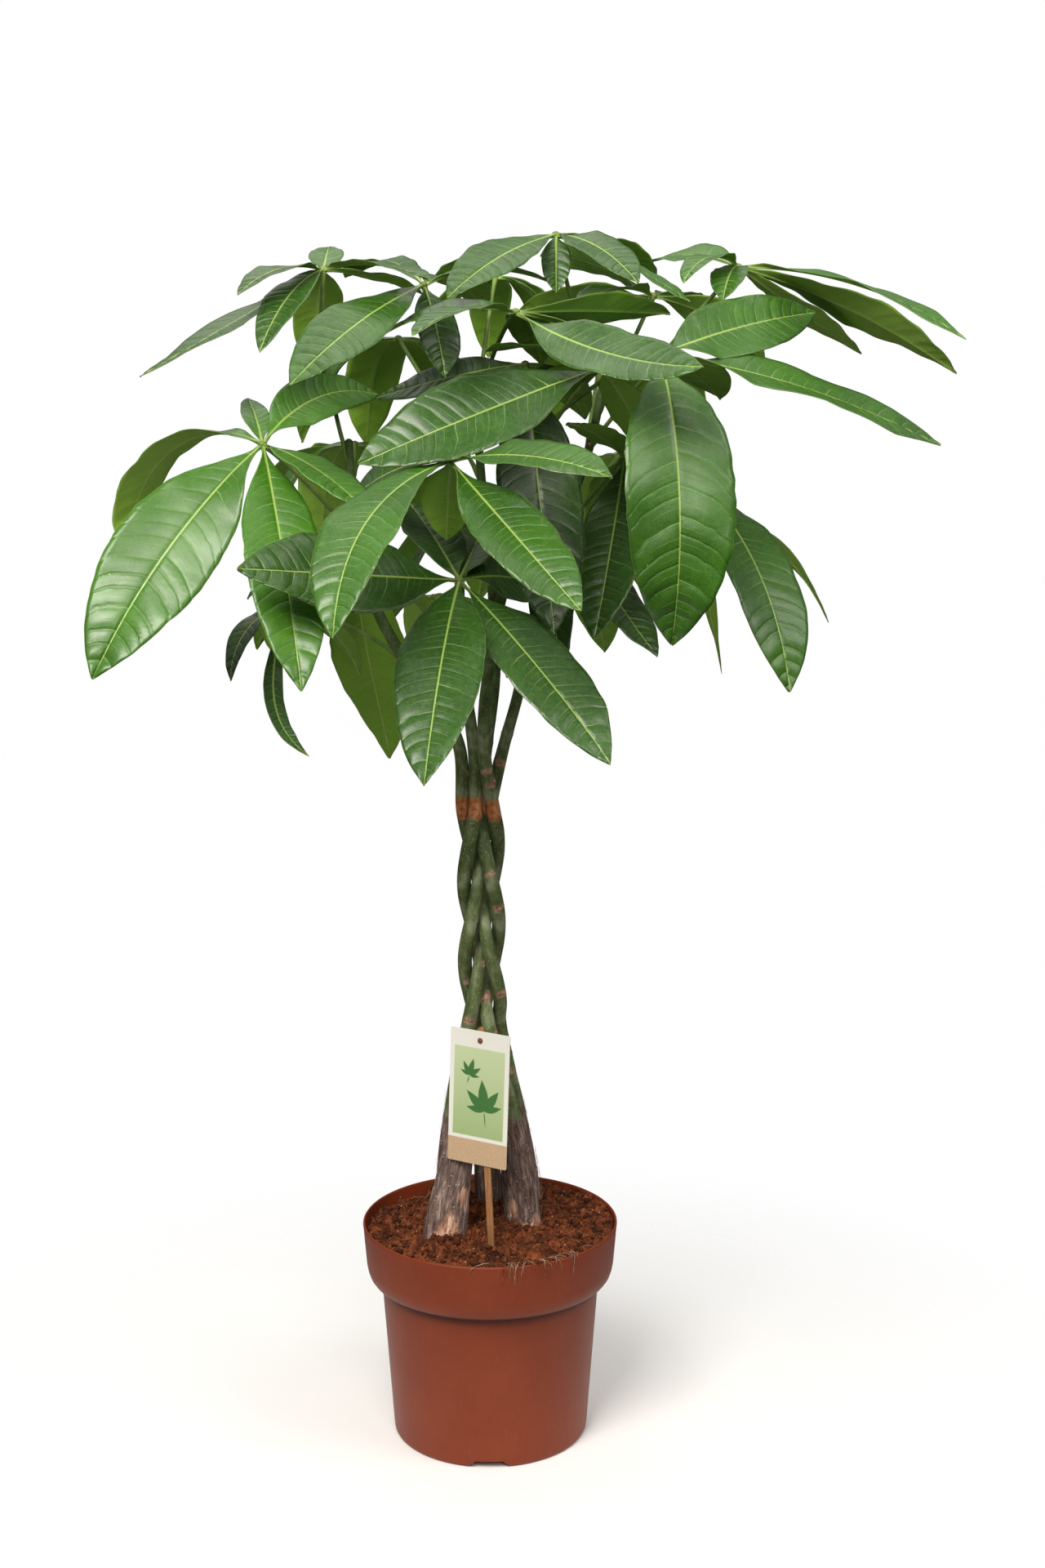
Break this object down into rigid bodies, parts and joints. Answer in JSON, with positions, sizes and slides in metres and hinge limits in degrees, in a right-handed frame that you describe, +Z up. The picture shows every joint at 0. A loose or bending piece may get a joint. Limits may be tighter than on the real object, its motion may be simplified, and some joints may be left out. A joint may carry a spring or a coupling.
{
  "type": "potted money tree",
  "caption": "Potted money tree: slender trunks braided into one column carry a spreading crown of palmate leaves, in a round collared nursery pot with soil and a plant label on a stick.",
  "frame": {"origin": "Centre of the pot's foot, on the ground: the middle of the pad under the pot's floor.", "axes": "+Z is up along the pot's axis; the label and the fullest side of the crown face -Y; +X is to the right seen from the front."},
  "size_m": [0.7599, 0.6322, 1.1192],
  "materials": {
    "pot_plastic": "satin",
    "soil": "matte",
    "bark": "matte",
    "leaf": "satin",
    "label_card": "satin",
    "stick_wood": "matte"
  },
  "bodies": {
    "root": {"pot": "pot_plastic", "soil": "soil", "stem_1": "bark", "stem_2": "bark", "stem_3": "bark", "stem_4": "bark", "stem_5": "bark", "leaf_01": "leaf", "leaf_02": "leaf", "leaf_03": "leaf", "leaf_04": "leaf", "leaf_05": "leaf", "leaf_06": "leaf", "leaf_07": "leaf", "leaf_08": "leaf", "leaf_09": "leaf", "leaf_10": "leaf", "leaf_11": "leaf", "leaf_12": "leaf", "leaf_13": "leaf", "leaf_14": "leaf", "leaf_15": "leaf", "leaf_16": "leaf", "leaf_17": "leaf", "leaf_18": "leaf", "leaf_19": "leaf", "leaf_20": "leaf", "leaf_21": "leaf", "leaf_22": "leaf", "leaf_23": "leaf", "leaf_24": "leaf", "plant_label": "label_card", "label_stick": "stick_wood"}
  },
  "joints": []
}
